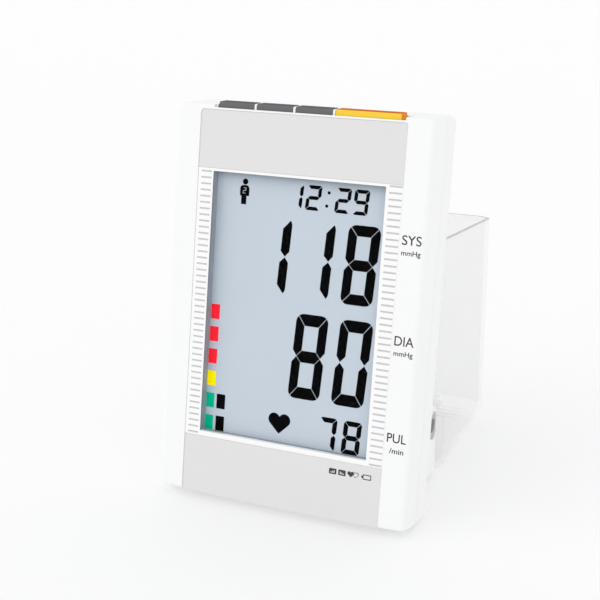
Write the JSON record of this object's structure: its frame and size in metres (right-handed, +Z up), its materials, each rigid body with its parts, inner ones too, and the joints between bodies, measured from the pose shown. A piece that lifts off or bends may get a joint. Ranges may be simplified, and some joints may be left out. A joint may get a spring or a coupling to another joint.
{
  "type": "upper arm blood pressure monitor",
  "caption": "Desktop blood pressure monitor: a leaning slab with a tall display and a row of top keys, a base block with an air socket, and a clear bin behind it for the cuff.",
  "frame": {"origin": "middle of the object's box on the table it stands on", "axes": "+Z up, the display faces -Y and leans back 8.8 degrees, +X to the right of a person who faces the display"},
  "size_m": [0.1162, 0.1499, 0.1719],
  "materials": {
    "white_shell": "satin-gloss moulded ABS",
    "grey_fascia": "glossy pale grey",
    "white_frame": "glossy white",
    "clear_lens": "clear acrylic",
    "lcd": "pale blue-grey liquid crystal panel",
    "diffuser": "milky light guide",
    "carrier": "unpainted white moulding",
    "zebra_rubber": "striped conductive rubber",
    "circuit_board": "green solder mask",
    "black_part": "black moulding",
    "sensor_body": "grey moulding",
    "grey_key": "fine matt dark grey",
    "orange_key": "satin orange",
    "steel": "plated steel",
    "cell_wrap": "plain foil wrap",
    "nylon": "natural nylon",
    "socket_grey": "dark grey moulding",
    "hose_rubber": "translucent grey silicone",
    "foot_rubber": "dark rubber",
    "clear_bin": "clear moulded plastic"
  },
  "bodies": {
    "housing": {"air_manifold": "nylon", "air_socket": "socket_grey", "battery_cell_1": "cell_wrap", "battery_cell_2": "cell_wrap", "battery_cell_3": "cell_wrap", "battery_cell_4": "cell_wrap", "battery_spring_1": "steel", "battery_spring_2": "steel", "battery_tray": "carrier", "button_board": "circuit_board", "buzzer": "black_part", "case_screw_1": "steel", "case_screw_2": "steel", "case_screw_3": "steel", "case_screw_4": "steel", "contact_plate_left": "steel", "contact_plate_right": "steel", "dc_jack": "black_part", "display_frame": "white_frame", "display_lens": "clear_lens", "front_bezel": "white_shell", "front_foot_left": "foot_rubber", "front_foot_right": "foot_rubber", "lcd_backlight": "diffuser", "lcd_glass": "lcd", "lcd_holder": "carrier", "lower_fascia": "grey_fascia", "main_pcb": "circuit_board", "microcontroller": "black_part", "pressure_sensor": "sensor_body", "pump_head": "black_part", "pump_motor": "steel", "pump_tube": "hose_rubber", "rear_foot_left": "foot_rubber", "rear_foot_right": "foot_rubber", "rear_housing": "white_shell", "sensor_tube": "hose_rubber", "socket_tube": "hose_rubber", "tact_switch_1": "steel", "tact_switch_2": "steel", "tact_switch_3": "steel", "tact_switch_4": "steel", "upper_fascia": "grey_fascia", "valve_body": "steel", "valve_tube": "hose_rubber", "zebra_strip": "zebra_rubber"},
    "memory_key": {"memory_button": "grey_key"},
    "clock_key": {"clock_button": "grey_key"},
    "user_key": {"user_button": "grey_key"},
    "start_key": {"start_button": "orange_key"},
    "battery_lid": {"battery_door": "white_shell"},
    "bin": {"cuff_bin": "clear_bin"},
    "pump_rotor": {"motor_shaft": "steel", "pump_eccentric": "nylon"},
    "plunger": {"valve_plunger": "steel"}
  },
  "joints": [
    {"name": "memory_press", "type": "slide", "parent": "housing", "child": "memory_key", "axis": [0, -0.153, -0.9882], "range_m": [0, 0.001], "stiffness_N_per_m": 400},
    {"name": "clock_press", "type": "slide", "parent": "housing", "child": "clock_key", "axis": [0, -0.153, -0.9882], "range_m": [0, 0.001], "stiffness_N_per_m": 400},
    {"name": "user_press", "type": "slide", "parent": "housing", "child": "user_key", "axis": [0, -0.153, -0.9882], "range_m": [0, 0.001], "stiffness_N_per_m": 400},
    {"name": "start_press", "type": "slide", "parent": "housing", "child": "start_key", "axis": [0, -0.153, -0.9882], "range_m": [0, 0.001], "stiffness_N_per_m": 400},
    {"name": "battery_door_hinge", "type": "hinge", "parent": "housing", "child": "battery_lid", "pos_m": [0, -0.02756, 0.12182], "axis": [-1, 0, 0], "range_deg": [0, 90]},
    {"name": "bin_lift", "type": "slide", "parent": "housing", "child": "bin", "axis": [0, 0.153, 0.9882], "range_m": [0, 0.005]},
    {"name": "pump_spin", "type": "hinge", "parent": "housing", "child": "pump_rotor", "pos_m": [-0.005, -0.027, 0.0186], "axis": [1, 0, 0], "continuous": true},
    {"name": "valve_stroke", "type": "slide", "parent": "housing", "child": "plunger", "axis": [0, 0, -1], "range_m": [0, 0.0012], "stiffness_N_per_m": 300}
  ]
}
